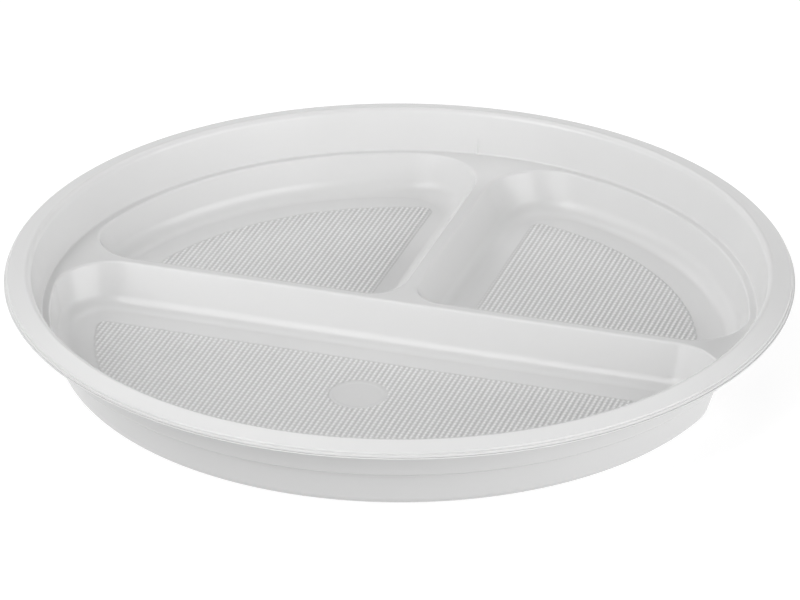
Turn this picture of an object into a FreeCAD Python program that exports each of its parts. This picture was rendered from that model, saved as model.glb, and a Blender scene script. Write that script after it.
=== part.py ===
import FreeCAD, Part
import Sketcher
import math
import os

# Round three-compartment serving plate, one thin plastic moulding, modelled region by region.
# Frame: Z up, origin on the table under the centre. +X runs along the long divider, the single
# large compartment is on -Y and the two smaller ones are on +Y. All lengths in millimetres.

doc = FreeCAD.newDocument("divided_plate")
sheet = doc.addObject("Spreadsheet::Sheet", "dims")

DIMENSIONS = [
    ("sheet_thick", 0.7, "moulded wall thickness everywhere"),
    # rim, seen in section from the inside out
    ("wall_foot_radius", 99.8, "inner radius of the upper wall where it meets the ledge"),
    ("wall_top_radius", 102.25, "inner radius of the upper wall where the rim starts to turn over"),
    ("wall_top_height", 22.9, "height at which the rim starts to turn over"),
    ("crest_radius", 102.64, "sharp corner between upper wall and flange, inner side"),
    ("crest_height", 24.63, "height of that sharp corner before rounding"),
    ("crest_round", 1.7, "rounding of the rim's inner edge"),
    ("flange_radius", 108.9, "outer radius of the sloping flange"),
    ("flange_edge_height", 23.3, "height of the flange's top at its outer edge"),
    ("lip_shoulder_radius", 109.5, "radius of the lip's shoulder"),
    ("lip_shoulder_height", 23.0, "height of the lip's shoulder"),
    ("lip_radius", 109.8, "radius of the lip's skirt at its lower end"),
    ("lip_foot_height", 22.05, "height of the lip's lower end"),
    ("band_radius", 110.0, "largest radius of the plate, on the thin band under the lip"),
    ("band_foot_height", 21.5, "height of the underside of the thin band"),
    # ledge and compartments
    ("ledge_height", 12.0, "top of the ledge and of all three dividers"),
    ("cup_radius", 97.5, "radius of the compartments' round side at the ledge"),
    ("round_draft", 14.0, "draft of the round side, degrees from vertical"),
    ("divider_draft", 27.0, "draft of the divider faces, degrees from vertical"),
    ("long_land_half", 1.5, "half the flat top of the long divider"),
    ("short_land_half", 1.9, "half the flat top of the short divider"),
    ("tip_round", 16.0, "plan radius at the long divider's ends"),
    ("back_round", 18.0, "plan radius at the short divider's rim end"),
    ("tee_round", 10.0, "plan radius at the junction of the dividers"),
    ("round_loss", 2.0, "how much every plan radius shrinks from the ledge to the floor"),
    ("foot_round", 5.5, "inside rounding between walls and floor"),
    ("base_round", 3.0, "outside rounding between walls and underside"),
    ("foot_clear", 0.8, "flat strip between that rounding and the floor regions"),
    # floors
    ("grip_front_radius", 85.5, "radius of the front knurled panel's round edge"),
    ("grip_radius", 83.5, "radius of the back knurled panels' round edges"),
    ("grip_front_edge", 17.2, "distance of the front panel's straight edge from the long divider's axis"),
    ("grip_back_edge", 17.2, "distance of the back panels' edges from the long divider's axis"),
    ("grip_side_edge", 15.4, "distance of the back panels' edges from the short divider's axis"),
    ("grip_corner", 3.0, "plan rounding of the knurled panels' corners"),
    ("gate_centre", 37.0, "distance of the smooth gate disc from the plate's centre"),
    ("gate_radius", 8.0, "radius of the smooth gate disc"),
    # cuts between the named regions
    ("tip_cut", 76.5, "where the straight run of the long divider ends"),
    ("back_cut", 74.0, "where the straight run of the short divider ends"),
    ("tee_cut", 18.0, "reach of the flared junction"),
    # witness line on the upper wall above the short divider
    ("witness_width", 0.8, "width of the raised moulding line"),
    ("witness_proud", 0.25, "how far it stands off the wall"),
    ("witness_length", 4.5, "how far it runs up from the ledge"),
    ("witness_turn", 4.3, "degrees the line stands round from the short divider's axis"),
]
for row, (alias, value, note) in enumerate(DIMENSIONS, start=1):
    sheet.set("A%d" % row, alias)
    sheet.set("B%d" % row, str(value))
    sheet.set("C%d" % row, note)
    sheet.setAlias("B%d" % row, alias)
doc.recompute()


def size(alias):
    """Value of one driving dimension."""
    return float(sheet.get(alias))


def origin_plane(body, role):
    """One of the body's own origin planes."""
    return [f for f in body.Origin.OriginFeatures if f.Role == role][0]


def profile_sketch(body, label, role, points):
    """Closed polygon whose corners are held by expressions, given as (across, up) pairs."""
    sketch = body.newObject("Sketcher::SketchObject", label)
    sketch.AttachmentSupport = [(origin_plane(body, role), "")]
    sketch.MapMode = "FlatFace"
    doc.recompute()
    where = []
    for across, up in points:
        x = sheet_value(across)
        y = sheet_value(up)
        where.append(FreeCAD.Vector(x, y, 0))
    count = len(where)
    for i in range(count):
        sketch.addGeometry(Part.LineSegment(where[i], where[(i + 1) % count]), False)
    for i in range(count):
        sketch.addConstraint(Sketcher.Constraint("Coincident", i, 2, (i + 1) % count, 1))
    for i, (across, up) in enumerate(points):
        for kind, expression, value in (("DistanceX", across, where[i].x), ("DistanceY", up, where[i].y)):
            number = sketch.addConstraint(Sketcher.Constraint(kind, -1, 1, i, 1, value))
            sketch.setExpression("Constraints[%d]" % number, bound(expression))
    doc.recompute()
    return sketch


def bound(expression):
    """Expression text with every alias pointed at the sheet."""
    words = expression.replace("-", " - ").replace("+", " + ").replace("*", " * ").split()
    names = [alias for alias, value, note in DIMENSIONS]
    return " ".join("dims." + word if word in names else word for word in words)


def sheet_value(expression):
    """Number that the same expression gives now."""
    total = 0.0
    sign = 1.0
    for word in expression.replace("-", " - ").replace("+", " + ").split():
        if word == "-":
            sign = -1.0
        elif word == "+":
            sign = 1.0
        else:
            factor = 1.0
            for part in word.split("*"):
                factor *= size(part) if part.isidentifier() else float(part)
            total += sign * factor
            sign = 1.0
    return total


def ring(name, points):
    """Ring-shaped region: a section turned about the plate's axis."""
    body = doc.addObject("PartDesign::Body", name)
    body.Label = name
    sketch = profile_sketch(body, name + "_section", "XZ_Plane", points)
    turn = body.newObject("PartDesign::Revolution", name + "_turn")
    turn.Profile = sketch
    turn.ReferenceAxis = (sketch, ["V_Axis"])
    turn.Angle = 360.0
    body.Tip = turn
    doc.recompute()
    return body


def edge_numbers(shape, radius, height):
    """Numbers of the circular edges at one radius and height."""
    found = []
    for number, edge in enumerate(shape.Edges, start=1):
        box = edge.BoundBox
        level = box.ZLength < 0.001 and abs(box.ZMin - height) < 0.01
        if level and abs(box.XMax - radius) < 0.01:
            found.append("Edge%d" % number)
    return found


def round_ring_edge(body, radius, height, amount):
    """PartDesign fillet on one circular edge of a ring."""
    base = body.Tip
    names = edge_numbers(base.Shape, radius, height)
    if not names:
        raise RuntimeError("no edge to round on " + body.Label)
    fillet = body.newObject("PartDesign::Fillet", body.Name + "_round")
    fillet.Base = (base, names)
    fillet.setExpression("Radius", amount)
    body.Tip = fillet
    doc.recompute()
    return fillet


# ---- rim -------------------------------------------------------------------------------------

ring("upper_wall", [
    ("wall_foot_radius", "ledge_height"),
    ("wall_foot_radius + sheet_thick", "ledge_height"),
    ("wall_top_radius + sheet_thick", "wall_top_height"),
    ("wall_top_radius", "wall_top_height"),
])

flange = ring("rim_flange", [
    ("wall_top_radius", "wall_top_height"),
    ("wall_top_radius + sheet_thick", "wall_top_height"),
    ("crest_radius + sheet_thick", "crest_height - sheet_thick - 0.15"),
    ("flange_radius", "flange_edge_height - sheet_thick"),
    ("flange_radius", "flange_edge_height"),
    ("crest_radius", "crest_height"),
])
round_ring_edge(flange, size("crest_radius"), size("crest_height"), "dims.crest_round")

ring("rim_lip", [
    ("flange_radius", "flange_edge_height"),
    ("flange_radius", "flange_edge_height - sheet_thick"),
    ("lip_radius - sheet_thick", "lip_foot_height"),
    ("lip_radius", "lip_foot_height"),
    ("lip_shoulder_radius", "lip_shoulder_height"),
])

ring("lip_band", [
    ("lip_radius - sheet_thick", "lip_foot_height"),
    ("band_radius - sheet_thick", "band_foot_height"),
    ("band_radius", "band_foot_height"),
    ("band_radius", "lip_foot_height - 0.15"),
    ("lip_radius", "lip_foot_height"),
])

# ---- compartment outlines --------------------------------------------------------------------


def tan_deg(angle):
    return math.tan(math.radians(angle))


def arc_between(start, middle, end):
    return Part.Arc(start, middle, end).toShape()


def point(x, y, z):
    return FreeCAD.Vector(x, y, z)


def front_outline(radius, edge, corner, level):
    """Half-round outline on -Y: straight side at y = -edge, both corners rounded."""
    centre_y = -(edge + corner)
    centre_x = math.sqrt((radius - corner) ** 2 - centre_y ** 2)
    reach = radius / (radius - corner)
    right = point(centre_x, -edge, level)
    right_rim = point(centre_x * reach, centre_y * reach, level)
    left = point(-centre_x, -edge, level)
    left_rim = point(-centre_x * reach, centre_y * reach, level)
    turn = math.atan2(centre_y, centre_x)
    middle_angle = (turn + math.pi / 2) / 2
    bulge_x = centre_x + corner * math.cos(middle_angle)
    bulge_y = centre_y + corner * math.sin(middle_angle)
    return Part.Wire([
        Part.LineSegment(left, right).toShape(),
        arc_between(right, point(bulge_x, bulge_y, level), right_rim),
        arc_between(right_rim, point(0, -radius, level), left_rim),
        arc_between(left_rim, point(-bulge_x, bulge_y, level), left),
    ])


def back_outline(radius, edge, side_edge, tip, back, tee, level, side):
    """Quarter-round outline on +Y, right-hand for side = 1 and left-hand for side = -1."""
    tip_y = edge + tip
    tip_x = math.sqrt((radius - tip) ** 2 - tip_y ** 2)
    tip_reach = radius / (radius - tip)
    back_x = side_edge + back
    back_y = math.sqrt((radius - back) ** 2 - back_x ** 2)
    back_reach = radius / (radius - back)
    tip_turn = (math.atan2(tip_y, tip_x) - math.pi / 2) / 2
    back_turn = (math.atan2(back_y, back_x) + math.pi) / 2
    diagonal = math.radians(225)

    def at(x, y):
        return point(side * x, y, level)

    tee_end = at(side_edge + tee, edge)
    tip_start = at(tip_x, edge)
    tip_rim = at(tip_x * tip_reach, tip_y * tip_reach)
    back_rim = at(back_x * back_reach, back_y * back_reach)
    back_end = at(side_edge, back_y)
    tee_start = at(side_edge, edge + tee)
    tip_bulge = at(tip_x + tip * math.cos(tip_turn), tip_y + tip * math.sin(tip_turn))
    back_bulge = at(back_x + back * math.cos(back_turn), back_y + back * math.sin(back_turn))
    rim_turn = (math.atan2(tip_y, tip_x) + math.atan2(back_y, back_x)) / 2
    rim_bulge = at(radius * math.cos(rim_turn), radius * math.sin(rim_turn))
    tee_bulge = at(
        side_edge + tee + tee * math.cos(diagonal),
        edge + tee + tee * math.sin(diagonal),
    )
    return Part.Wire([
        Part.LineSegment(tee_end, tip_start).toShape(),
        arc_between(tip_start, tip_bulge, tip_rim),
        arc_between(tip_rim, rim_bulge, back_rim),
        arc_between(back_rim, back_bulge, back_end),
        Part.LineSegment(back_end, tee_start).toShape(),
        arc_between(tee_start, tee_bulge, tee_end),
    ])


thick = size("sheet_thick")
ledge = size("ledge_height")
SIDES = {"front": 0, "back_left": -1, "back_right": 1}


def outline(side, level, grow, shrink):
    """Outline of one compartment at a level, grown outwards, its corners smaller by shrink."""
    drop = ledge - level
    radius = size("cup_radius") - drop * tan_deg(size("round_draft"))
    out = drop * tan_deg(size("divider_draft"))
    round_grow = grow / math.cos(math.radians(size("round_draft")))
    flat_grow = grow / math.cos(math.radians(size("divider_draft")))
    radius += round_grow
    edge = size("long_land_half") + out - flat_grow
    side_edge = size("short_land_half") + out - flat_grow
    tip = size("tip_round") - shrink + grow
    back = size("back_round") - shrink + grow
    tee = size("tee_round") - shrink + grow
    if side == 0:
        return front_outline(radius, edge, tip, level)
    return back_outline(radius, edge, side_edge, tip, back, tee, level, side)


def cup(side, floor_level, grow, foot_round):
    """Drafted cup from the ledge down to a level, its bottom edge rounded."""
    upper = outline(side, ledge, grow, 0.0)
    lower = outline(side, floor_level, grow, size("round_loss"))
    solid = Part.makeLoft([upper, lower], True, True)
    foot = [e for e in solid.Edges if e.BoundBox.ZMax < floor_level + 0.001]
    return solid.makeFillet(foot_round, foot)


def foot_run(draft):
    """Plan distance from a wall's top edge to the edge of the flat floor region."""
    run = (ledge - thick) * tan_deg(draft)
    run += size("foot_round") * tan_deg((90 - draft) / 2)
    return run + size("foot_clear")


def foot_outline(side, level):
    """Edge of the flat floor region, just inside the rounding at the walls' foot."""
    radius = size("cup_radius") - foot_run(size("round_draft"))
    edge = size("long_land_half") + foot_run(size("divider_draft"))
    side_edge = size("short_land_half") + foot_run(size("divider_draft"))
    shrink = size("round_loss") + 3.0 + size("foot_clear")
    tip = size("tip_round") - shrink
    back = size("back_round") - shrink
    tee = size("tee_round") - shrink
    if side == 0:
        return front_outline(radius, edge, tip, level)
    return back_outline(radius, edge, side_edge, tip, back, tee, level, side)


def grip_outline(side, level):
    """Edge of the knurled panel."""
    radius = size("grip_front_radius") if side == 0 else size("grip_radius")
    corner = size("grip_corner")
    if side == 0:
        return front_outline(radius, size("grip_front_edge"), corner, level)
    edge = size("grip_back_edge")
    side_edge = size("grip_side_edge")
    return back_outline(radius, edge, side_edge, corner, corner, corner, level, side)


def prism(wire, height):
    return Part.Face(wire).extrude(point(0, 0, height))


def block(x_low, x_high, y_low, y_high):
    """Full-height cutting block over a plan rectangle."""
    return Part.makeBox(x_high - x_low, y_high - y_low, 16, point(x_low, y_low, -2))


inside = {name: cup(side, thick, 0.0, size("foot_round")) for name, side in SIDES.items()}
outside = {name: cup(side, 0.0, thick, size("base_round")) for name, side in SIDES.items()}
flat = {name: prism(foot_outline(side, -2), 16) for name, side in SIDES.items()}
trays = {name: outside[name].cut(inside[name]) for name in SIDES}

web = Part.makeCylinder(size("wall_foot_radius") + thick, thick, point(0, 0, ledge - thick))
for name in SIDES:
    web = web.cut(outside[name])

tip_cut = size("tip_cut")
back_cut = size("back_cut")
tee_cut = size("tee_cut")
long_foot = size("long_land_half") + foot_run(size("divider_draft"))
short_foot = size("short_land_half") + foot_run(size("divider_draft"))

long_right_zone = block(tee_cut, tip_cut, -long_foot, long_foot)
long_left_zone = block(-tip_cut, -tee_cut, -long_foot, long_foot)
short_zone = block(-short_foot, short_foot, tee_cut, back_cut)
tee_zone = block(-tee_cut, tee_cut, -long_foot, tee_cut)
tee_zone = tee_zone.cut([flat["back_left"], flat["back_right"]])


def store(name, shape):
    """Finished region as its own document object."""
    clean = shape.removeSplitter()
    item = doc.addObject("Part::Feature", name)
    item.Label = name
    item.Shape = clean.Solids[0] if len(clean.Solids) == 1 else clean
    item.Placement = FreeCAD.Placement()
    return item


# ---- dividers --------------------------------------------------------------------------------

sheet_body = web.fuse([trays["front"], trays["back_left"], trays["back_right"]])
divider_zones = {
    "long_divider_left": long_left_zone,
    "long_divider_right": long_right_zone,
    "short_divider": short_zone,
    "divider_junction": tee_zone,
}
for name, zone in divider_zones.items():
    store(name, sheet_body.common(zone))

# ---- compartment walls, with the rounded corners at the dividers' ends -----------------------

WALL_NAMES = {
    "front": "front_wall",
    "back_left": "back_left_wall",
    "back_right": "back_right_wall",
}
divider_blocks = [
    block(-tip_cut, tip_cut, -long_foot, long_foot),
    block(-short_foot, short_foot, 0, back_cut),
    block(-tee_cut, tee_cut, 0, tee_cut),
]
for name in SIDES:
    store(WALL_NAMES[name], trays[name].cut([flat[name]] + divider_blocks))

# ---- ledge with the small flat gussets at the dividers' ends ---------------------------------

store("ledge", web.cut(divider_blocks))

# ---- floors: smooth margin, knurled panel and gate disc --------------------------------------

gate = doc.addObject("Part::Cylinder", "gate_disc")
gate.Label = "gate_disc"
gate.setExpression("Radius", "dims.gate_radius")
gate.setExpression("Height", "dims.sheet_thick")
gate.setExpression("Placement.Base.y", "-dims.gate_centre")
doc.recompute()

for name, side in SIDES.items():
    slab = outside[name].cut(inside[name]).common(flat[name])
    panel = prism(grip_outline(side, 0.0), thick)
    margin = slab.cut(prism(grip_outline(side, -2), 16))
    if name == "front":
        panel = panel.cut(gate.Shape)
    store(name + "_margin", margin)
    store(name + "_grip_panel", panel)

# ---- witness line on the upper wall ----------------------------------------------------------

lean = (size("wall_top_radius") - size("wall_foot_radius")) / (size("wall_top_height") - ledge)
foot_radius = size("wall_foot_radius")
rise = size("witness_length")
proud = size("witness_proud")
rib = Part.makeBox(size("witness_width"), 3.0, rise, point(-size("witness_width") / 2, 0, ledge))
rib.translate(point(0, foot_radius - proud, 0))
rib.rotate(point(0, 0, 0), point(0, 0, 1), size("witness_turn"))
hollow = Part.makeCone(foot_radius, foot_radius + lean * rise, rise, point(0, 0, ledge))
front_cone = Part.makeCone(foot_radius - proud, foot_radius - proud + lean * rise, rise, point(0, 0, ledge))
store("witness_line", rib.common(hollow).cut(front_cone))

# ---- checks and output -----------------------------------------------------------------------

doc.recompute()
NODES = [
    "rim_flange", "rim_lip", "lip_band", "upper_wall", "witness_line", "ledge",
    "front_wall", "back_left_wall", "back_right_wall",
    "long_divider_left", "long_divider_right", "short_divider", "divider_junction",
    "front_margin", "back_left_margin", "back_right_margin",
    "front_grip_panel", "back_left_grip_panel", "back_right_grip_panel", "gate_disc",
]
for item in doc.Objects:
    if "Invalid" in item.State or "Error" in item.State:
        raise RuntimeError(item.Name + " is in a bad state")
os.makedirs("parts", exist_ok=True)
for name in NODES:
    item = doc.getObject(name)
    shape = item.Shape
    if shape.isNull() or not shape.isValid() or shape.Volume <= 0:
        raise RuntimeError(name + " is not a valid solid")
    box = shape.optimalBoundingBox(False)
    print("%-24s solids %d faces %3d volume %9.2f  x %.2f..%.2f y %.2f..%.2f z %.2f..%.2f" % (
        name, len(shape.Solids), len(shape.Faces), shape.Volume,
        box.XMin, box.XMax, box.YMin, box.YMax, box.ZMin, box.ZMax))
    shape.exportStep("parts/%s.step" % name)
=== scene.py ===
"""Looks for the divided plate: every visible skin is meshed here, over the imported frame."""

import math

import bpy
import numpy as np
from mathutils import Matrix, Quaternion, Vector
from mathutils.geometry import delaunay_2d_cdt


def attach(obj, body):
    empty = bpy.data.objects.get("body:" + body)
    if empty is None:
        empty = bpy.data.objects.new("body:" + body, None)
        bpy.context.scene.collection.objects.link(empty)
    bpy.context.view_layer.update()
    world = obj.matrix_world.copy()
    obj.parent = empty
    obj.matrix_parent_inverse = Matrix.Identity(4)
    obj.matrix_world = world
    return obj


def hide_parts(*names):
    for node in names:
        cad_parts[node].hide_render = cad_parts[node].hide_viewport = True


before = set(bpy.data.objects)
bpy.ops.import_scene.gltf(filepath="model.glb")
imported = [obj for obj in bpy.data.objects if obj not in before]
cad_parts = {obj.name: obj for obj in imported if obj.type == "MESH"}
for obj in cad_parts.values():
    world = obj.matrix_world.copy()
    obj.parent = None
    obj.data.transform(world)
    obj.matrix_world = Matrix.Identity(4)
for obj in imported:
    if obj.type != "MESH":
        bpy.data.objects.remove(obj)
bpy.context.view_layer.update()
scene = bpy.context.scene
scene.view_settings.view_transform = "Standard"

# ------------------------------------------------------------------ camera, at the photo's angle
camera_data = bpy.data.cameras.new("camera")
camera = bpy.data.objects.new("camera", camera_data)
scene.collection.objects.link(camera)
camera_data.lens = 191.65
camera_data.sensor_width = 36.0
camera_data.clip_start = 0.05
camera_data.clip_end = 50.0
camera.location = (0.32448, -1.01247, 0.54911)
look = Vector((-0.27228, 0.85, -0.45097))
roll = Quaternion((0, 0, 1), math.radians(0.129))
camera.rotation_mode = "QUATERNION"
camera.rotation_quaternion = look.to_track_quat("-Z", "Y") @ roll
scene.camera = camera

# ------------------------------------------------------------------ sizes, in millimetres
MM = 0.001

# the sheet, the height of ledge and dividers, and the section of the compartments' walls;
# BASE_R rounds the outside's foot and FLAT_SHARE is the flat part of its last stretch
THICK = 0.7
FLOOR = THICK
LEDGE = 12.0
ROUND_DRAFT = math.radians(14)
DIVIDER_DRAFT = math.radians(27)
LEDGE_CREST_R = 0.7
DIVIDER_CREST_R = 1.0
FOOT_R = 5.5
BASE_R = 3.0
FLAT_SHARE = 0.2

# the compartments in plan: their round wall, half the widths of the dividers' tops, the corner
# radii and what those lose from crest to foot, and where the dividers' junction ends
CUP_R = 97.5
LONG_HALF = 1.5
SHORT_HALF = 1.9
TIP_R = 16.0
BACK_R = 18.0
TEE_R = 10.0
CORNER_LOSS = 5.0
TEE_CUT = 18.0

# the upper wall from its foot to its straight part's top, the rounding of its foot, the widest
# radius, and the points round a turned piece
WALL_FOOT_R = 99.8
WALL_TOP_R = 102.25
WALL_TOP_Z = 22.9
LEDGE_CORNER_R = 0.6
MAX_R = 109.88
ROUND_STEPS = 360

# the knurled panels' edges, front and back, and the knurl: its pitch, its height, how much of
# that stays in the saddles along Y, how far inside the edge it is full, and grid steps per pitch
GRIP_R = (85.5, 83.5)
GRIP_FRONT = 17.2
GRIP_BACK = 17.2
GRIP_SIDE = 15.4
GRIP_CORNER = 3.0
PITCH = 1.478
KNURL = 0.44
SADDLE = 0.4
KNURL_RISE = 0.45
PITCH_STEPS = 4

# the gate disc: its middle, the gap in the knurl, its section as radius and drop below the
# floor, and its steps round
GATE_Y = -37.0
GATE_R = 8.0
GATE_DROP = 0.05
GATE_SECTION = ((6.3, GATE_DROP), (6.55, 0.046), (6.85, 0.025), (7.15, 0.004), (7.4, 0.0))
GATE_STEPS = 96

# the witness line: its place round the wall, its lift off the ledge, its height, half its width,
# how far it stands out, how fast it fades towards its top, how deep it sits in the wall, how far
# its edges stay clear of the wall, and its points each way
WITNESS_TURN = math.radians(4.3)
WITNESS_LIFT = 0.1
WITNESS_TALL = 4.6
WITNESS_HALF = 0.45
WITNESS_PROUD = 0.3
WITNESS_FADE = 2.2
WITNESS_DEEP = 0.5
WITNESS_CLEAR = 0.005
WITNESS_POINTS = 9


# ------------------------------------------------------------------ sheet pieces
def triangles(loops):
    """Triangles inside the first loop and outside the others, as numbers of the joined points."""
    points = np.array([p for loop in loops for p in loop])
    edges = []
    first = 0
    for loop in loops:
        count = len(loop)
        edges += [(first + k, first + (k + 1) % count) for k in range(count)]
        first += count
    found = delaunay_2d_cdt([Vector(p) for p in points], edges, [], 1, 1e-7)
    origin = found[3]
    tris = np.array([[origin[k][0] for k in face] for face in found[2]])
    corner = points[tris]
    middle = corner.mean(1)
    a, b, c = corner[:, 0], corner[:, 1], corner[:, 2]
    turn = (b[:, 0] - a[:, 0]) * (c[:, 1] - a[:, 1]) - (b[:, 1] - a[:, 1]) * (c[:, 0] - a[:, 0])
    tris[turn < 0] = tris[turn < 0][:, ::-1]
    return tris[sum(holds(loop, middle) for loop in loops) % 2 == 1].tolist()


def holds(loop, places):
    """Which places the closed loop goes round, as ones and zeros."""
    start = np.array(loop)[:, None]
    end = np.roll(start, -1, axis=0)
    x, y = places[:, 0][None], places[:, 1][None]
    crossed = (start[..., 1] > y) != (end[..., 1] > y)
    rise = np.where(crossed, end[..., 1] - start[..., 1], 1.0)
    at = start[..., 0] + (y - start[..., 1]) * (end[..., 0] - start[..., 0]) / rise
    return (crossed & (at > x)).sum(0) % 2


class Skin:
    """A moulded sheet: welded points of its upper side with the points below them, and faces."""

    def __init__(self):
        self.points = []
        self.normals = []
        self.low_points = []
        self.low_normals = []
        self.faces = []
        self.index = {}

    def add(self, p, n, low=None, low_n=None):
        key = (round(p[0] * 2000), round(p[1] * 2000), round(p[2] * 2000))
        if key not in self.index:
            self.index[key] = len(self.points)
            self.points.append(p)
            self.normals.append(n)
            self.low_points.append(np.subtract(p, np.multiply(n, THICK)) if low is None else low)
            self.low_normals.append(np.negative(n) if low_n is None else low_n)
        return self.index[key]

    def face(self, ids):
        ring = [a for k, a in enumerate(ids) if a != ids[k - 1]]
        if len(ring) > 2:
            self.faces.append(ring)

    def grid(self, p, n, low=None, low_n=None):
        """Quads over a grid of points, wound so that they face along the normals."""
        rows, cols = p.shape[:2]
        low = p - n * THICK if low is None else low
        low_n = -n if low_n is None else low_n
        ids = [
            [self.add(p[i, j], n[i, j], low[i, j], low_n[i, j]) for j in range(cols)]
            for i in range(rows)
        ]
        across = np.cross(p[1:, 1:] - p[:-1, :-1], p[:-1, 1:] - p[1:, :-1])
        flip = float((across * n[:-1, :-1]).sum()) < 0
        for i in range(rows - 1):
            for j in range(cols - 1):
                quad = [ids[i][j], ids[i + 1][j], ids[i + 1][j + 1], ids[i][j + 1]]
                self.face(quad[::-1] if flip else quad)

    def flat(self, loops, z):
        """Flat stretch inside the first loop and outside the others, facing up."""
        ids = [[self.add((x, y, z), (0.0, 0.0, 1.0)) for x, y in loop] for loop in loops]
        joined = [i for ring in ids for i in ring]
        for tri in triangles(loops):
            self.face([joined[k] for k in tri])


def loops_of(faces):
    """Boundary loops of a set of faces, each walked along the faces' own direction."""
    edges = set()
    for ring in faces:
        for k in range(len(ring)):
            edges.add((ring[k - 1], ring[k]))
    after = {a: b for a, b in edges if (b, a) not in edges}
    loops = []
    while after:
        start, here = after.popitem()
        loop = [start]
        while here != start:
            loop.append(here)
            here = after.pop(here)
        loops.append(loop)
    return loops


def build(name, skin, flat_under=False):
    """Closed sheet from a skin: the skin, its underside, and walls round its edges."""
    top = np.array(skin.points, float)
    normal = np.array(skin.normals, float)
    count = len(top)
    loops = loops_of(skin.faces)
    faces = [list(ring) for ring in skin.faces]
    loop_normals = [normal[k] for ring in faces for k in ring]
    if flat_under:
        low = np.array([top[k] for loop in loops for k in loop])
        low[:, 2] = 0.0
        below = {}
        for loop in loops:
            for k in loop:
                below[k] = count + len(below)
        rings = [[(top[k][0], top[k][1]) for k in loop] for loop in loops]
        order = [k for loop in loops for k in loop]
        for tri in triangles(rings):
            faces.append([below[order[k]] for k in tri[::-1]])
            loop_normals += [np.array((0.0, 0.0, -1.0))] * 3
    else:
        low = np.array(skin.low_points, float)
        below = {k: count + k for k in range(count)}
        for ring in skin.faces:
            faces.append([below[k] for k in ring[::-1]])
            loop_normals += [skin.low_normals[k] for k in ring[::-1]]
    points = np.concatenate([top, low])
    for loop in loops:
        for k in range(len(loop)):
            a, b = loop[k - 1], loop[k]
            quad = [b, a, below[a], below[b]]
            side = np.cross(points[quad[2]] - points[quad[0]], points[quad[3]] - points[quad[1]])
            length = np.linalg.norm(side)
            if length < 1e-9:
                continue
            faces.append(quad)
            loop_normals += [side / length] * 4
    mesh = bpy.data.meshes.new(name)
    mesh.from_pydata((points * MM).tolist(), [], faces)
    mesh.polygons.foreach_set("use_smooth", [True] * len(mesh.polygons))
    mesh.normals_split_custom_set([tuple(v) for v in loop_normals])
    piece = bpy.data.objects.new(name, mesh)
    scene.collection.objects.link(piece)
    return piece


# ------------------------------------------------------------------ sections
def unit(v):
    """The vector at length 1."""
    return v / np.linalg.norm(v)


def arc_section(points, radii, steps):
    """Polyline with its inner corners rounded: positions and unit tangents along it."""
    points = [np.array(p, float) for p in points]
    out = [points[0]]
    tangents = [unit(points[1] - points[0])]
    for last, corner, following, radius in zip(points, points[1:], points[2:], radii):
        before = unit(corner - last)
        after = unit(following - corner)
        turn = math.atan2(before[0] * after[1] - before[1] * after[0], float(before @ after))
        start = corner - before * radius * math.tan(abs(turn) / 2)
        side = np.array((-before[1], before[0])) * math.copysign(1, turn)
        centre = start + side * radius
        arm = start - centre
        for j in range(steps + 1):
            c, s = math.cos(turn * j / steps), math.sin(turn * j / steps)
            swing = np.array(((c, -s), (s, c)))
            out.append(centre + swing @ arm)
            tangents.append(swing @ before)
    out.append(points[-1])
    tangents.append(unit(points[-1] - points[-2]))
    return np.array(out), np.array(tangents)


def turned(section, tangents):
    """Points and outward normals of a section (radius, height) turned about Z."""
    angle = np.linspace(0, 2 * math.pi, ROUND_STEPS + 1)
    c, s = np.cos(angle)[:, None], np.sin(angle)[:, None]
    r, z = section[:, 0][None], section[:, 1][None]
    nr, nz = -tangents[:, 1][None], tangents[:, 0][None]
    p = np.stack([r * c, r * s, np.broadcast_to(z, (len(c), len(section)))], -1)
    n = np.stack([nr * c, nr * s, np.broadcast_to(nz, (len(c), len(section)))], -1)
    return p, n


def wall_section(draft, crest_r, grow):
    """Compartment wall: inset and height against a parameter running 0 to 3, over the crest to
    1, down the wall to 2 and round the foot to 3. grow is 0 for the inside and the sheet's
    thickness for the outside, whose foot has a smaller rounding and then runs flat."""
    sweep = math.pi / 2 - draft
    half = math.tan(sweep / 2)
    crest_reach = crest_r * half
    foot_end = (LEDGE - FLOOR) * math.tan(draft) + FOOT_R * half
    level = FLOOR if grow == 0 else 0.0
    foot_r = FOOT_R if grow == 0 else BASE_R
    slant = (LEDGE - grow * math.sin(draft) - level) / math.cos(draft)
    base = slant * math.sin(draft) - grow * math.cos(draft)
    arc_share = 1 - FLAT_SHARE if grow else 1

    def at(v):
        turn = sweep * np.clip(v, 0, 1)
        crest = (crest_r - grow) * np.sin(turn) - crest_reach
        crest_z = LEDGE - crest_r + (crest_r - grow) * np.cos(turn)
        along = crest_reach + (slant - crest_reach - foot_r * half) * np.clip(v - 1, 0, 1)
        wall = along * math.sin(draft) - grow * math.cos(draft)
        wall_z = LEDGE - grow * math.sin(draft) - along * math.cos(draft)
        curl = sweep * np.clip((2 + arc_share - v) / arc_share, 0, 1)
        arc_end = base + foot_r * half
        foot = arc_end - foot_r * np.sin(curl)
        foot += (foot_end - arc_end) * np.clip((v - 3) / FLAT_SHARE + 1, 0, 1)
        foot_z = level + foot_r * (1 - np.cos(curl))
        inset = np.where(v <= 1, crest, np.where(v <= 2, wall, foot))
        return inset, np.where(v <= 1, crest_z, np.where(v <= 2, wall_z, foot_z))

    return at


INSIDE = (
    wall_section(ROUND_DRAFT, LEDGE_CREST_R, 0),
    wall_section(DIVIDER_DRAFT, DIVIDER_CREST_R, 0),
)
OUTSIDE = (
    wall_section(ROUND_DRAFT, LEDGE_CREST_R, THICK),
    wall_section(DIVIDER_DRAFT, DIVIDER_CREST_R, THICK),
)


def ease(t):
    """0 to 1 with a soft start and end."""
    return t * t * (3 - 2 * t)


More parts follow.
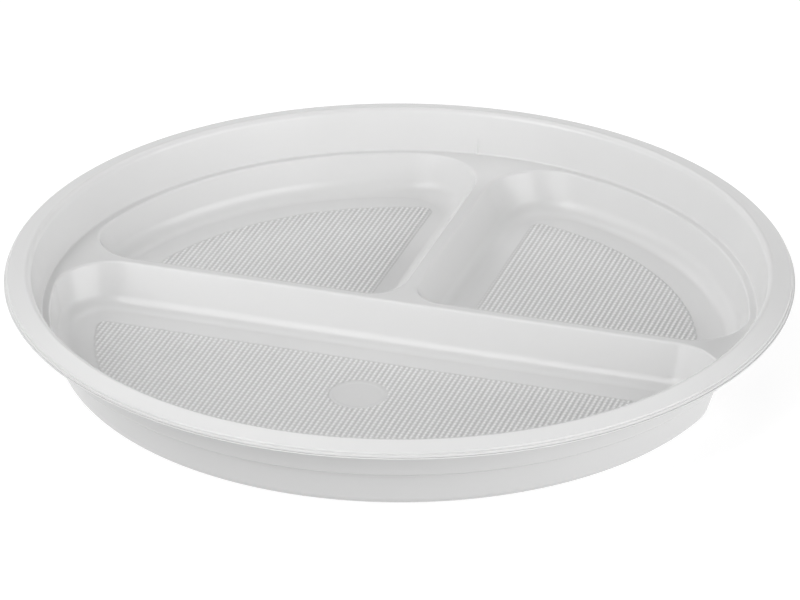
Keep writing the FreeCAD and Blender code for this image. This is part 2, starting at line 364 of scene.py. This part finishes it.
def cup_point(side, part, t, v, walls):
    """Point of a compartment's wall. side: 0 front, 1 back right; part names the stretch,
    t runs 0 to 1 along it and v 0 to 3 down the wall, and both may be arrays. walls is INSIDE or
    OUTSIDE: the sections of the round wall and of the dividers."""
    inset_r, z_r = walls[0](v)
    inset_d, z_d = walls[1](v)
    inner = INSIDE[1](v)[0]
    first, last = INSIDE[1](0)[0], INSIDE[1](3)[0]
    loss = CORNER_LOSS * (inner - first) / (last - first) - (inner - inset_d)
    radius = CUP_R - inset_r
    edge = LONG_HALF + inset_d
    flank = SHORT_HALF + inset_d
    tip = TIP_R - loss
    tip_y = edge + tip
    tip_x = np.sqrt((radius - tip) ** 2 - tip_y ** 2)
    tip_turn = np.arctan2(tip_y, tip_x)
    back = BACK_R - loss
    back_x = flank + back
    back_y = np.sqrt((radius - back) ** 2 - back_x ** 2)
    back_turn = np.arctan2(back_y, back_x)
    tee = TEE_R - loss
    if part == "run":
        start = 0.0 if side == 0 else flank + tee
        return start + (TEE_CUT - start) * t, edge, z_d
    if part == "reach":
        return TEE_CUT + (tip_x - TEE_CUT) * t, edge, z_d
    if part == "tip":
        a = -math.pi / 2 + (tip_turn + math.pi / 2) * t
        return tip_x + tip * np.cos(a), tip_y + tip * np.sin(a), z_d + (z_r - z_d) * ease(t)
    if part == "arc":
        end = math.pi / 2 if side == 0 else back_turn
        a = tip_turn + (end - tip_turn) * t
        return radius * np.cos(a), radius * np.sin(a), z_r
    if part == "back":
        a = back_turn + (math.pi - back_turn) * t
        return back_x + back * np.cos(a), back_y + back * np.sin(a), z_r + (z_d - z_r) * ease(t)
    if part == "flank":
        return flank, back_y + (TEE_CUT - back_y) * t, z_d
    if part == "stub":
        return flank, TEE_CUT + (edge + tee - TEE_CUT) * t, z_d
    a = math.pi + math.pi / 2 * t
    return flank + tee + tee * np.cos(a), edge + tee + tee * np.sin(a), z_d


# faces along each stretch of wall, and the parameter's values from crest to foot
STEPS = {"run": 6, "reach": 16, "tip": 16, "arc": 60, "back": 16, "flank": 16, "stub": 3, "tee": 14}
DOWN = np.concatenate([np.linspace(0, 1, 8), np.linspace(1, 2, 7)[1:], np.linspace(2, 3, 11)[1:]])


def stretch(side, part):
    """Values of t along one stretch of wall; the front compartment's arc is twice as long."""
    return np.linspace(0, 1, STEPS[part] * (2 if side == 0 and part == "arc" else 1) + 1)


def placed(side, part, t, v, walls):
    """cup_point over arrays, as one array of points."""
    x, y, z = cup_point(side, part, t, v, walls)
    shape = np.broadcast(t, v).shape
    return np.stack([np.broadcast_to(c, shape) for c in (x, y, z)], -1)


def cup_patch(side, part, walls):
    """Grid of one stretch of wall with normals that point up, into the compartment. Where the
    outside's crest has no radius the normals are straight up."""
    t = stretch(side, part)[:, None]
    v = DOWN[None]
    small = 1e-4
    along = placed(side, part, np.minimum(t + small, 1), v, walls)
    along -= placed(side, part, np.maximum(t - small, 0), v, walls)
    down = placed(side, part, t, np.minimum(v + small, 3), walls)
    down -= placed(side, part, t, np.maximum(v - small, 0), walls)
    n = np.cross(down, along)
    size = np.linalg.norm(n, axis=-1, keepdims=True)
    n = np.where(size > 1e-12, n / np.maximum(size, 1e-12), (0.0, 0.0, 1.0))
    n[n[..., 2] < 0] *= -1
    return placed(side, part, t, v, walls), n


def add_patch(skin, side, part, mirror_x, mirror_y):
    """Adds a stretch of wall, inside and outside, and gives back its inside points."""
    turn = np.array((mirror_x, mirror_y, 1))
    p, n = cup_patch(side, part, INSIDE)
    low, low_n = cup_patch(side, part, OUTSIDE)
    skin.grid(p * turn, n * turn, low * turn, -low_n * turn)
    return p * turn


def add_land(skin, one, other):
    """Flat top of a divider, between the crests of the walls on its two sides."""
    land = np.stack([one[:, 0], other[:, 0]], 1)
    up = np.zeros_like(land)
    up[..., 2] = 1
    skin.grid(land, up)


def outline(side, part, v, mirror_x=1, mirror_y=1):
    """Plan outline of one stretch of wall at parameter v."""
    p = placed(side, part, stretch(side, part), np.array(v), INSIDE)
    return [(x * mirror_x, y * mirror_y) for x, y, z in p]


def joined(*chains):
    """Chains of plan points strung together without repeated points."""
    out = []
    for chain in chains:
        for p in chain:
            if not out or abs(p[0] - out[-1][0]) + abs(p[1] - out[-1][1]) > 1e-6:
                out.append(p)
    if abs(out[0][0] - out[-1][0]) + abs(out[0][1] - out[-1][1]) < 1e-6:
        out.pop()
    return out


# ------------------------------------------------------------------ compartments and dividers
pieces = {}

skin = Skin()
for mx in (1, -1):
    add_patch(skin, 0, "tip", mx, -1)
    add_patch(skin, 0, "arc", mx, -1)
pieces["front_wall"] = build("front_wall_skin", skin)

for mx, word in ((1, "right"), (-1, "left")):
    skin = Skin()
    for part in ("tip", "arc", "back"):
        add_patch(skin, 1, part, mx, 1)
    pieces["back_%s_wall" % word] = build("back_%s_wall_skin" % word, skin)

    skin = Skin()
    add_land(skin, add_patch(skin, 0, "reach", mx, -1), add_patch(skin, 1, "reach", mx, 1))
    pieces["long_divider_" + word] = build("long_divider_%s_skin" % word, skin)

skin = Skin()
east = add_patch(skin, 1, "flank", 1, 1)
west = add_patch(skin, 1, "flank", -1, 1)
add_land(skin, west, east)
pieces["short_divider"] = build("short_divider_skin", skin)

skin = Skin()
for mx in (1, -1):
    add_patch(skin, 0, "run", mx, -1)
    for part in ("run", "tee", "stub"):
        add_patch(skin, 1, part, mx, 1)
skin.flat([joined(
    outline(0, "run", 0, -1, -1)[::-1],
    outline(0, "run", 0, 1, -1),
    outline(1, "run", 0)[::-1],
    outline(1, "tee", 0)[::-1],
    outline(1, "stub", 0)[::-1],
    outline(1, "stub", 0, -1, 1),
    outline(1, "tee", 0, -1, 1),
    outline(1, "run", 0, -1, 1),
)], LEDGE)
pieces["divider_junction"] = build("divider_junction_skin", skin)

# ------------------------------------------------------------------ ledge, upper wall and rim
# section from the ledge to the skirt's end as radius and height, whose first point only gives
# the ledge's direction, then the radii of its corners, and where its pieces start in it
RIM_POINTS = [
    (WALL_FOOT_R - 2.0, LEDGE),
    (WALL_FOOT_R, LEDGE),
    (102.64, 24.61),
    (108.95, 23.28),
    (109.18, 22.93),
    (109.02, 22.74),
    (109.56, 22.62),
    (109.64, 22.08),
]
RIM_RADII = [LEDGE_CORNER_R, 1.75, 0.2, 0.05, 0.06, 0.2]
CORNER_STEPS = 8
WALL_START = 1
CREST = WALL_START + CORNER_STEPS + 1
SHOULDER = CREST + CORNER_STEPS + 1

line, tangents = arc_section(RIM_POINTS, RIM_RADII, CORNER_STEPS)
ledge_reach = line[WALL_START][0]
circle = [
    (ledge_reach * math.cos(a), ledge_reach * math.sin(a))
    for a in np.linspace(0, 2 * math.pi, ROUND_STEPS + 1)[:-1]
]
inner = joined(
    outline(0, "tip", 0, 1, -1),
    outline(0, "arc", 0, 1, -1),
    outline(0, "arc", 0, -1, -1)[::-1],
    outline(0, "tip", 0, -1, -1)[::-1],
    outline(1, "tip", 0, -1, 1),
    outline(1, "arc", 0, -1, 1),
    outline(1, "back", 0, -1, 1),
    outline(1, "back", 0, 1, 1)[::-1],
    outline(1, "arc", 0, 1, 1)[::-1],
    outline(1, "tip", 0, 1, 1)[::-1],
)
skin = Skin()
skin.flat([circle, inner], LEDGE)
pieces["ledge"] = build("ledge_skin", skin)


def turned_piece(name, section, tangent):
    """Sheet piece from a section turned about Z."""
    skin = Skin()
    p, n = turned(section, tangent)
    skin.grid(p, n)
    return build(name, skin)


for node, first, last in (
    ("upper_wall", WALL_START, CREST),
    ("rim_flange", CREST, SHOULDER),
    ("rim_lip", SHOULDER, len(line) - 1),
):
    pieces[node] = turned_piece(node + "_skin", line[first:last + 1], tangents[first:last + 1])

# closed section of the lip's band as radius and height
BAND_POINTS = [
    (108.95, 22.08),
    (109.3, 22.08),
    (109.36, 21.98),
    (MAX_R - 0.06, 21.92),
    (MAX_R, 21.82),
    (MAX_R, 21.62),
    (MAX_R - 0.12, 21.5),
    (109.28, 21.5),
    (109.1, 21.62),
]


def ring_piece(name, section):
    """Solid ring: a closed section turned about Z, shaded by its own edges."""
    count = len(section)
    verts = []
    for i in range(ROUND_STEPS):
        a = 2 * math.pi * i / ROUND_STEPS
        for r, z in section:
            verts.append((r * math.cos(a) * MM, r * math.sin(a) * MM, z * MM))
    faces = []
    for i in range(ROUND_STEPS):
        j = (i + 1) % ROUND_STEPS
        for k in range(count):
            m = (k + 1) % count
            faces.append((i * count + k, i * count + m, j * count + m, j * count + k))
    mesh = bpy.data.meshes.new(name)
    mesh.from_pydata(verts, [], faces)
    mesh.polygons.foreach_set("use_smooth", [True] * len(faces))
    mesh.set_sharp_from_angle(angle=math.radians(50))
    piece = bpy.data.objects.new(name, mesh)
    scene.collection.objects.link(piece)
    return piece


pieces["lip_band"] = ring_piece("lip_band_skin", BAND_POINTS)


# ------------------------------------------------------------------ floors
def panel_distance(side, x, y):
    """Distance inside the knurled panel's edge, positive inside, for arrays of plan points. The
    front panel has no side edge and leaves a gap for the gate disc."""
    if side == 0:
        first = -GRIP_FRONT - y
        second = np.full_like(x, np.inf)
    else:
        first = y - GRIP_BACK
        second = x - GRIP_SIDE
    rim = GRIP_R[side] - np.hypot(x, y)
    c = GRIP_CORNER
    inside = np.minimum(np.minimum(first, second), rim)
    for a, b in ((first, second), (first, rim), (second, rim)):
        near = np.hypot(np.maximum(c - a, 0), np.maximum(c - b, 0))
        inside = np.minimum(inside, np.where((a < c) & (b < c), c - near, inside))
    if side == 0:
        inside = np.minimum(inside, np.hypot(x, y - GATE_Y) - GATE_R)
    return inside


def knurl_panel(side):
    """Square knurl over one floor: the grid's points and the faces that carry it. The grid has
    some spare steps beyond the panel's edges."""
    step = PITCH / PITCH_STEPS
    spare = 2
    far = math.ceil(GRIP_R[side] / step) + spare
    if side == 0:
        i = np.arange(-far, far + 1)
        j = np.arange(-far, spare - math.floor(GRIP_FRONT / step) + 1)
    else:
        i = np.arange(math.floor(GRIP_SIDE / step) - spare, far + 1)
        j = np.arange(math.floor(GRIP_BACK / step) - spare, far + 1)
    gx, gy = np.meshgrid(i * step, j * step, indexing="ij")
    inside = panel_distance(side, gx, gy)
    sx = 0.5 - 0.5 * np.cos(2 * math.pi * gx / PITCH)
    sy = 0.5 - 0.5 * np.cos(2 * math.pi * gy / PITCH)
    height = KNURL * sx * (SADDLE + (1 - SADDLE) * sy) * np.clip(inside / KNURL_RISE, 0, 1)
    within = inside > 0
    keep = within[:-1, :-1] | within[1:, :-1] | within[1:, 1:] | within[:-1, 1:]
    # faces that meet only at a corner get their neighbours, until all meet along edges
    changed = True
    while changed:
        a, b = keep[:-1, :-1], keep[1:, :-1]
        c, d = keep[:-1, 1:], keep[1:, 1:]
        touch = (a & d & ~b & ~c) | (b & c & ~a & ~d)
        changed = bool(touch.any())
        for ii, jj in zip(*np.nonzero(touch)):
            keep[ii:ii + 2, jj:jj + 2] = True
    slope_x, slope_y = np.gradient(height, step)
    normal = np.stack([-slope_x, -slope_y, np.ones_like(height)], -1)
    normal /= np.linalg.norm(normal, axis=-1, keepdims=True)
    used = np.zeros(height.shape, bool)
    for di in (0, 1):
        for dj in (0, 1):
            used[di:used.shape[0] - 1 + di, dj:used.shape[1] - 1 + dj] |= keep
    number = -np.ones(height.shape, int)
    number[used] = np.arange(used.sum())
    skin = Skin()
    skin.points = np.stack([gx, gy, FLOOR + height], -1)[used]
    skin.normals = normal[used]
    ii, jj = np.nonzero(keep)
    quads = np.stack([number[ii, jj], number[ii + 1, jj], number[ii + 1, jj + 1], number[ii, jj + 1]], 1)
    skin.faces = quads.tolist()
    return skin


def mirrored(skin):
    """The skin on the other side of the YZ plane."""
    other = Skin()
    other.points = np.array(skin.points) * (-1, 1, 1)
    other.normals = np.array(skin.normals) * (-1, 1, 1)
    other.faces = [ring[::-1] for ring in skin.faces]
    return other


def plan_loops(skin):
    """The skin's boundary loops as plan points, longest first."""
    loops = sorted(loops_of(skin.faces), key=len, reverse=True)
    return [[(skin.points[k][0], skin.points[k][1]) for k in loop] for loop in loops]


front_foot = joined(
    outline(0, "run", 3, -1, -1)[::-1],
    outline(0, "run", 3, 1, -1),
    outline(0, "reach", 3, 1, -1),
    outline(0, "tip", 3, 1, -1),
    outline(0, "arc", 3, 1, -1),
    outline(0, "arc", 3, -1, -1)[::-1],
    outline(0, "tip", 3, -1, -1)[::-1],
    outline(0, "reach", 3, -1, -1)[::-1],
)
skin = knurl_panel(0)
loops = plan_loops(skin)
pieces["front_grip_panel"] = build("front_grip_panel_skin", skin, flat_under=True)
margin = Skin()
margin.flat([front_foot, loops[0]], FLOOR)
pieces["front_margin"] = build("front_margin_skin", margin, flat_under=True)

disc = Skin()
angles = np.linspace(0, 2 * math.pi, GATE_STEPS + 1)
rows = [
    [(r * math.cos(a), GATE_Y + r * math.sin(a), FLOOR - drop) for a in angles]
    for r, drop in GATE_SECTION
]
p = np.array(rows)
radii, drops = np.array(GATE_SECTION).T
slope = np.gradient(-drops, radii)
slope[0] = slope[-1] = 0
n = np.zeros_like(p)
n[..., 0] = -slope[:, None] * np.cos(angles)[None]
n[..., 1] = -slope[:, None] * np.sin(angles)[None]
n[..., 2] = 1
n /= np.linalg.norm(n, axis=-1, keepdims=True)
disc.grid(p, n)
disc.flat([[(x, y) for x, y, z in rows[0][:-1]]], FLOOR - GATE_DROP)
disc.flat([loops[1], [(x, y) for x, y, z in rows[-1][:-1]]], FLOOR)
pieces["gate_disc"] = build("gate_disc_skin", disc, flat_under=True)

back_skin = knurl_panel(1)
for mx, word in ((1, "right"), (-1, "left")):
    skin = back_skin if mx > 0 else mirrored(back_skin)
    loops = plan_loops(skin)
    name = "back_%s_grip_panel" % word
    pieces[name] = build(name + "_skin", skin, flat_under=True)
    foot = joined(
        outline(1, "run", 3, mx),
        outline(1, "reach", 3, mx),
        outline(1, "tip", 3, mx),
        outline(1, "arc", 3, mx),
        outline(1, "back", 3, mx),
        outline(1, "flank", 3, mx),
        outline(1, "stub", 3, mx),
        outline(1, "tee", 3, mx),
    )
    margin = Skin()
    margin.flat([foot, loops[0]], FLOOR)
    name = "back_%s_margin" % word
    pieces[name] = build(name + "_skin", margin, flat_under=True)

# ------------------------------------------------------------------ witness line
lean = (WALL_TOP_R - WALL_FOOT_R) / (WALL_TOP_Z - LEDGE)
rib = Skin()
rows = []
normals = []
for u in np.linspace(0, 1, WITNESS_POINTS):
    z = LEDGE + WITNESS_LIFT + WITNESS_TALL * u
    wall = WALL_FOOT_R + lean * (z - LEDGE)
    proud = WITNESS_PROUD * math.sin(math.pi * min(1.0, (1 - u) * WITNESS_FADE) / 2)
    for s in np.linspace(-1, 1, WITNESS_POINTS):
        x = WITNESS_HALF * s
        bulge = proud * (0.5 + 0.5 * math.cos(math.pi * s)) + WITNESS_CLEAR
        tilt = proud * math.pi / 2 / WITNESS_HALF * math.sin(math.pi * s)
        rows.append((x, math.sqrt(wall ** 2 - x * x) - bulge, z))
        normals.append(unit(np.array((tilt, -1.0, lean))))
turn = np.array((
    (math.cos(WITNESS_TURN), math.sin(WITNESS_TURN), 0),
    (-math.sin(WITNESS_TURN), math.cos(WITNESS_TURN), 0),
    (0, 0, 1),
))
p = np.array(rows).reshape(WITNESS_POINTS, WITNESS_POINTS, 3)
n = np.array(normals).reshape(WITNESS_POINTS, WITNESS_POINTS, 3)
rib.grid(p @ turn, n @ turn, (p + np.array((0.0, WITNESS_DEEP, 0.0))) @ turn)
pieces["witness_line"] = build("witness_line_skin", rib)


# ------------------------------------------------------------------ materials
# height range of the knurl's painted shade, from the base to near the tops, and the place in it just
# above the floor where the valleys are painted darkest; the sheet's underside, UNDER_REACH lower in it,
# has a tone of its own
SHADE_TOP = FLOOR + 0.8 * KNURL
VALLEY = (FLOOR + 0.05) / SHADE_TOP
UNDER_REACH = 0.2
UNDER_TONE = 0.85
CLOUD_SCALE = 22.0
STREAK_SCALE = 60.0
GLOSS_SPREAD = 0.03
GRAIN_STRENGTH = 0.35


def grey(tone):
    """Colour of one grey tone."""
    return (tone, tone, tone, 1)


def noise(tree, place, scale, detail):
    """Noise over the plate, as a value from 0 to 1."""
    texture = tree.nodes.new("ShaderNodeTexNoise")
    texture.inputs["Scale"].default_value = scale
    texture.inputs["Detail"].default_value = detail
    tree.links.new(place.outputs["Object"], texture.inputs["Vector"])
    return texture.outputs["Fac"]


def clouded(tree, place, dark, light):
    """Tone that drifts faintly over the plate."""
    tone = tree.nodes.new("ShaderNodeMix")
    tone.data_type = "RGBA"
    tone.inputs["A"].default_value = grey(dark)
    tone.inputs["B"].default_value = (light, light, light * 0.998, 1)
    tree.links.new(noise(tree, place, CLOUD_SCALE, 4.0), tone.inputs["Factor"])
    return tone.outputs["Result"]


def painted_valley_shade(tree, place, tone, valley_shade):
    """The tone with painted shade: darker in the knurl's valleys, where less light reaches, and rising
    to full tone at its tops.
    """
    split = tree.nodes.new("ShaderNodeSeparateXYZ")
    tree.links.new(place.outputs["Object"], split.inputs["Vector"])
    height = tree.nodes.new("ShaderNodeMapRange")
    height.inputs["From Max"].default_value = SHADE_TOP * MM
    tree.links.new(split.outputs["Z"], height.inputs["Value"])
    # ramp of painted shade over height, darkest in the knurl's valleys
    depth = tree.nodes.new("ShaderNodeValToRGB")
    stops = depth.color_ramp.elements
    stops[0].position = VALLEY - UNDER_REACH
    stops[0].color = grey(UNDER_TONE)
    stops.new(VALLEY).color = grey(valley_shade)
    tree.links.new(height.outputs["Result"], depth.inputs["Fac"])
    shade = tree.nodes.new("ShaderNodeMix")
    shade.data_type = "RGBA"
    shade.blend_type = "MULTIPLY"
    shade.inputs["Factor"].default_value = 1.0
    tree.links.new(tone, shade.inputs["A"])
    tree.links.new(depth.outputs["Color"], shade.inputs["B"])
    return shade.outputs["Result"]


def uneven_gloss(tree, place, rough):
    """Roughness that strays a little to either side."""
    gloss = tree.nodes.new("ShaderNodeMapRange")
    gloss.inputs["To Min"].default_value = rough - GLOSS_SPREAD
    gloss.inputs["To Max"].default_value = rough + GLOSS_SPREAD
    tree.links.new(noise(tree, place, STREAK_SCALE, 3.0), gloss.inputs["Value"])
    return gloss.outputs["Result"]


def fine_grain(tree, place, scale, depth):
    """Bump of the moulded surface's grain, depth in metres."""
    bump = tree.nodes.new("ShaderNodeBump")
    bump.inputs["Strength"].default_value = GRAIN_STRENGTH
    bump.inputs["Distance"].default_value = depth
    tree.links.new(noise(tree, place, scale, 3.0), bump.inputs["Height"])
    return bump.outputs["Normal"]


def plastic(name, dark, light, rough, grain, grain_depth, valley_shade=None):
    """White moulded plastic: faint clouding, uneven gloss and a fine surface grain. The tone of the
    knurl's valleys against its tops, if given, is painted shade that darkens the valleys."""
    mat = bpy.data.materials.new(name)
    mat.use_nodes = True
    tree = mat.node_tree
    shader = tree.nodes["Principled BSDF"]
    shader.inputs["IOR"].default_value = 1.5
    shader.inputs["Specular IOR Level"].default_value = 0.5
    place = tree.nodes.new("ShaderNodeTexCoord")
    tone = clouded(tree, place, dark, light)
    # painted shade in the knurl's valleys, where it is asked for
    if valley_shade is not None:
        tone = painted_valley_shade(tree, place, tone, valley_shade)
    tree.links.new(tone, shader.inputs["Base Color"])
    tree.links.new(uneven_gloss(tree, place, rough), shader.inputs["Roughness"])
    tree.links.new(fine_grain(tree, place, grain, grain_depth), shader.inputs["Normal"])
    return mat


smooth = plastic(
    "white_plastic", dark=0.70, light=0.74, rough=0.225, grain=260.0, grain_depth=0.00003
)
# the knurled plastic is lighter, and its valleys are darkened to 0.68 of that tone as painted shade, so
# that its mean stays near the smooth plastic's
knurled = plastic(
    "knurled_plastic", dark=0.83, light=0.87, rough=0.31, grain=900.0, grain_depth=0.00002,
    valley_shade=0.68,
)

for node, piece in pieces.items():
    panel = node.endswith("grip_panel")
    piece.data.materials.append(knurled if panel else smooth)
    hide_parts(node)
    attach(piece, "root")

# ------------------------------------------------------------------ studio floor
STUDIO_R = 4.0
STUDIO_SIDES = 64
angles = np.linspace(0, 2 * math.pi, STUDIO_SIDES + 1)[:-1]
floor_mesh = bpy.data.meshes.new("studio_floor")
ring = [(STUDIO_R * math.cos(a), STUDIO_R * math.sin(a), 0) for a in angles]
floor_mesh.from_pydata(ring, [], [list(range(STUDIO_SIDES))])
floor = bpy.data.objects.new("studio_floor", floor_mesh)
scene.collection.objects.link(floor)
floor_mat = bpy.data.materials.new("pale_floor")
floor_mat.use_nodes = True
floor_shader = floor_mat.node_tree.nodes["Principled BSDF"]
floor_shader.inputs["Base Color"].default_value = grey(0.3)
floor_shader.inputs["Roughness"].default_value = 0.8
floor_shader.inputs["Specular IOR Level"].default_value = 0.1
floor_shader.inputs["Emission Color"].default_value = grey(1)
floor_shader.inputs["Emission Strength"].default_value = 0.8
floor_mesh.materials.append(floor_mat)
floor.visible_diffuse = False
floor.visible_shadow = False

# ------------------------------------------------------------------ studio walls
# strength against direction, from 0 straight down over 0.5 level to 1 straight up: the walls of
# the studio are bright up to some height all round, and its ceiling is dark
SURROUNDINGS = ((0.47, 0.51), (0.495, 0.79), (0.65, 0.79), (0.71, 0.0))

world = bpy.data.worlds.new("studio")
scene.world = world
world.use_nodes = True
sky = world.node_tree
background = sky.nodes["Background"]
background.inputs["Color"].default_value = grey(1)
direction = sky.nodes.new("ShaderNodeTexCoord")
split = sky.nodes.new("ShaderNodeSeparateXYZ")
half_up = sky.nodes.new("ShaderNodeMapRange")
half_up.inputs["From Min"].default_value = -1.0
level = sky.nodes.new("ShaderNodeValToRGB")
stops = level.color_ramp.elements
for stop, (place, strength) in zip(list(stops), (SURROUNDINGS[0], SURROUNDINGS[-1])):
    stop.position = place
    stop.color = grey(strength)
for place, strength in SURROUNDINGS[1:-1]:
    stops.new(place).color = grey(strength)
sky.links.new(direction.outputs["Generated"], split.inputs["Vector"])
sky.links.new(split.outputs["Z"], half_up.inputs["Value"])
sky.links.new(half_up.outputs["Result"], level.inputs["Fac"])
sky.links.new(level.outputs["Color"], background.inputs["Strength"])

# ------------------------------------------------------------------ studio lamps
LAMP_DISTANCE = 2.0
CAMERA_TURN = math.degrees(math.atan2(camera.location.y, camera.location.x))

# name, degrees round from the camera, degrees above the floor, width, height, watts
LAMPS = (
    ("key", -53, 44, 1.0, 1.6, 16.5),
    ("right", 58, 20, 2.2, 1.5, 26.1),
    ("front_high", -25, 50, 1.2, 1.2, 5.0),
    ("left", -88, 32, 1.2, 1.2, 5.0),
    ("front_low", -27, 12, 1.3, 0.7, 3.4),
    ("back_high", 180, 50, 1.4, 1.2, 7.3),
    ("back_left", -150, 40, 1.2, 1.2, 3.8),
    ("top", 180, 84, 1.8, 1.8, 3.1),
)


def softbox(name, turn, height, wide, tall, power):
    """Area lamp aimed at the plate, unseen by the camera."""
    swing = math.radians(CAMERA_TURN + turn)
    rise = math.radians(height)
    out = math.cos(rise)
    toward = Vector((math.cos(swing) * out, math.sin(swing) * out, math.sin(rise)))
    data = bpy.data.lights.new(name, "AREA")
    data.shape = "RECTANGLE"
    data.size = wide
    data.size_y = tall
    data.energy = power
    lamp = bpy.data.objects.new(name, data)
    lamp.location = toward * LAMP_DISTANCE
    lamp.rotation_mode = "QUATERNION"
    lamp.rotation_quaternion = toward.to_track_quat("Z", "Y")
    lamp.visible_camera = False
    scene.collection.objects.link(lamp)


for lamp in LAMPS:
    softbox(*lamp)
